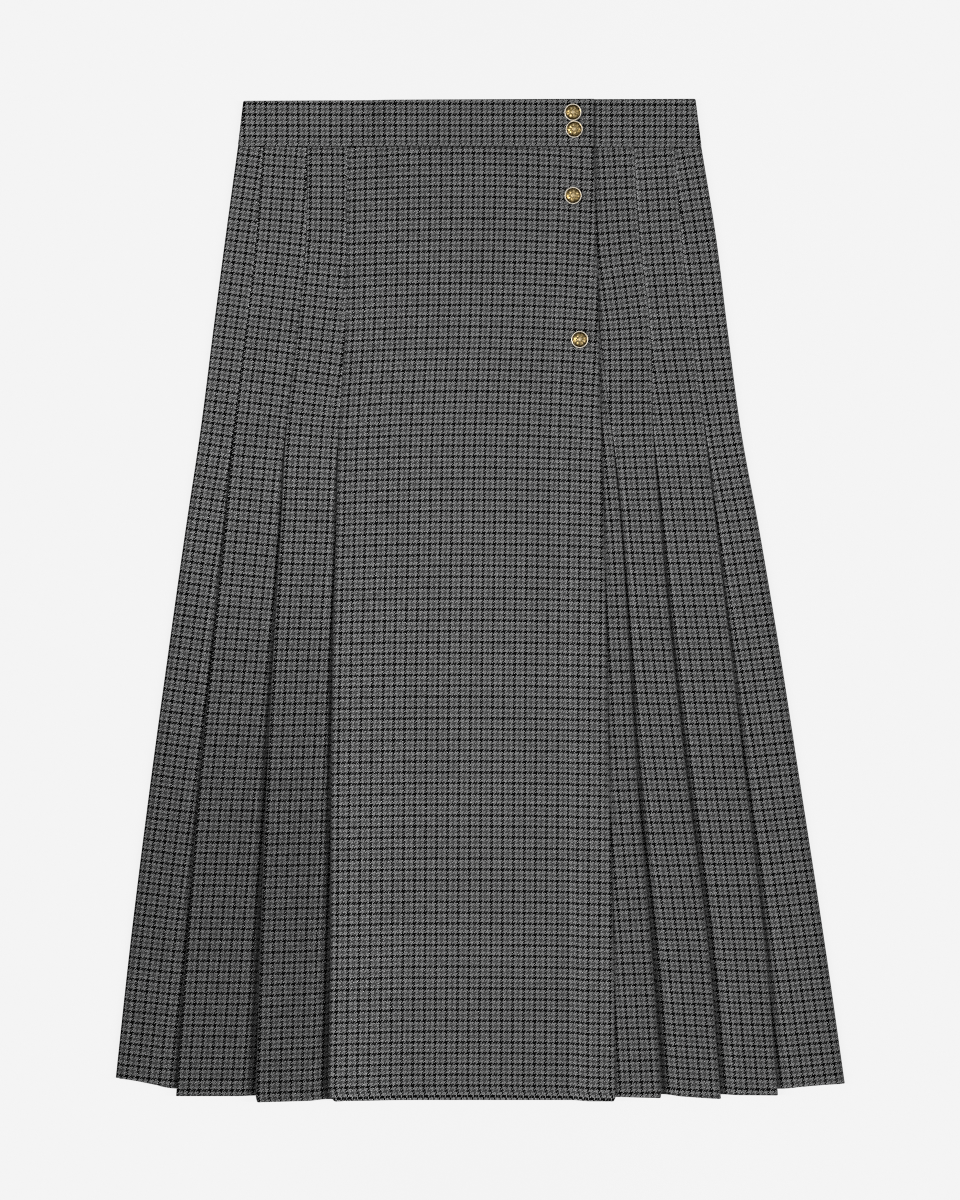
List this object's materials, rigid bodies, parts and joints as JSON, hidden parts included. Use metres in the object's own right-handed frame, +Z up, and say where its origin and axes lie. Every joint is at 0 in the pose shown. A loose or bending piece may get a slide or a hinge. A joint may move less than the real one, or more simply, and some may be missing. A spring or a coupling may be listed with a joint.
{
  "type": "wrap maxi skirt",
  "caption": "A-line wrap skirt with a flat overlap, stitched-down knife pleats at both sides, a straight waistband and metal buttons, laid flat on its back.",
  "frame": {"origin": "middle of the skirt's bounding box, on the surface that the skirt lies on", "axes": "+Z up from the surface through the front, +Y from hem to waist, +X to the right of the front as seen"},
  "size_m": [0.6419, 0.8819, 0.0119],
  "materials": {
    "cloth": "matte wool-look twill in a mini check of black, light grey and mid grey yarns",
    "waistband_cloth": "matte wool-look twill in a mini check of black, light grey and mid grey yarns",
    "button_brass": "antiqued gold-coloured metal, bright on the rim and dark in the groove"
  },
  "bodies": {
    "root": {"apron": "cloth", "left_pleats": "cloth", "right_pleats": "cloth", "underlap": "cloth", "back": "cloth", "waistband": "waistband_cloth", "button_1": "button_brass", "button_2": "button_brass", "button_3": "button_brass", "button_4": "button_brass"}
  },
  "joints": []
}
